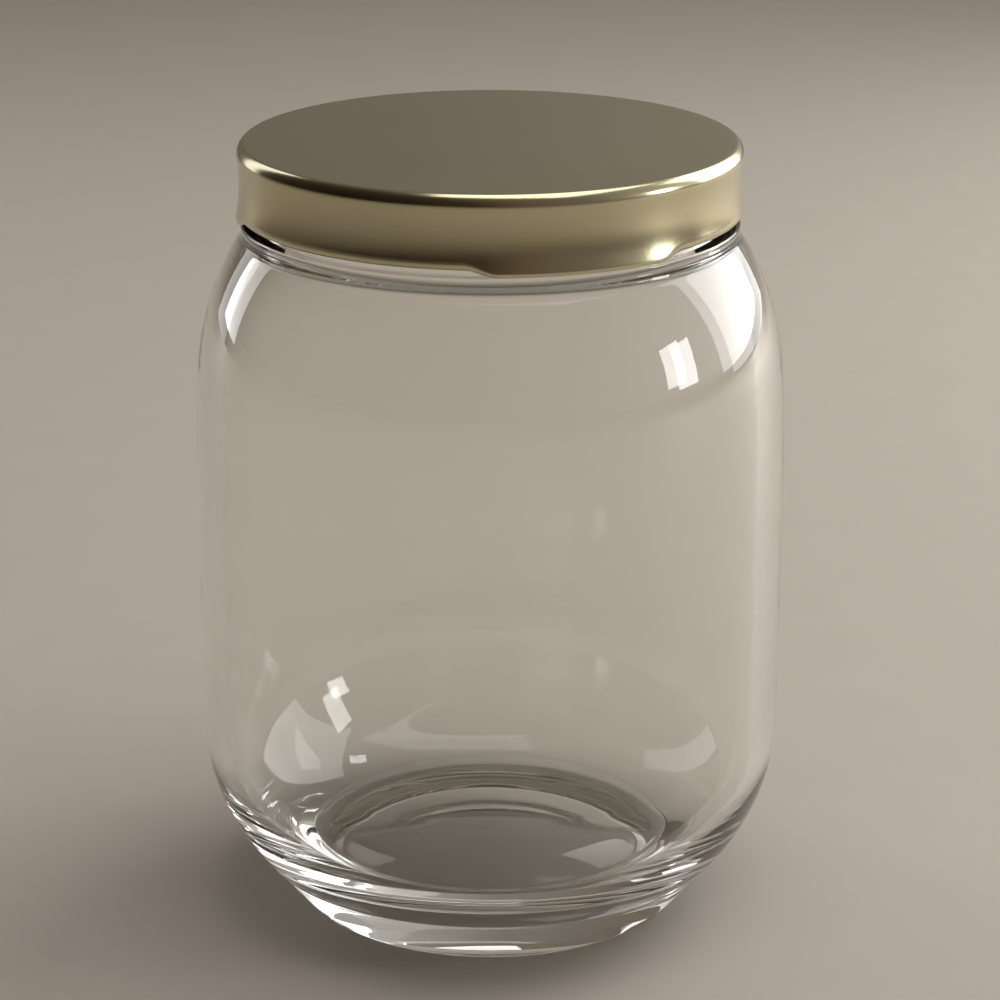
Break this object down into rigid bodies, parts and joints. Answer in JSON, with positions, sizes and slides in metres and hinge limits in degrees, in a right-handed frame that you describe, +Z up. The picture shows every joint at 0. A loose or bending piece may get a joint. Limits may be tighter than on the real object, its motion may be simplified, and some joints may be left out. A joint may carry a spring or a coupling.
{
  "type": "glass jar",
  "caption": "Round clear glass storage jar with a thick curved foot, a wide mouth and a twist-off metal lid.",
  "frame": {"origin": "middle of the ring that the jar stands on, at table level", "axes": "+Z up along the jar's axis, +X to the right and +Y to the back of the jar as it is looked at"},
  "size_m": [0.1014, 0.1014, 0.1354],
  "materials": {
    "clear_glass": "blown and fire-polished, smooth",
    "lacquered_tinplate": "thin sheet with gold-bronze lacquer, glossy",
    "sealing_compound": "soft moulded compound, satin"
  },
  "bodies": {
    "root": {"jar": "clear_glass", "lid": "lacquered_tinplate", "seal_ring": "sealing_compound"}
  },
  "joints": []
}
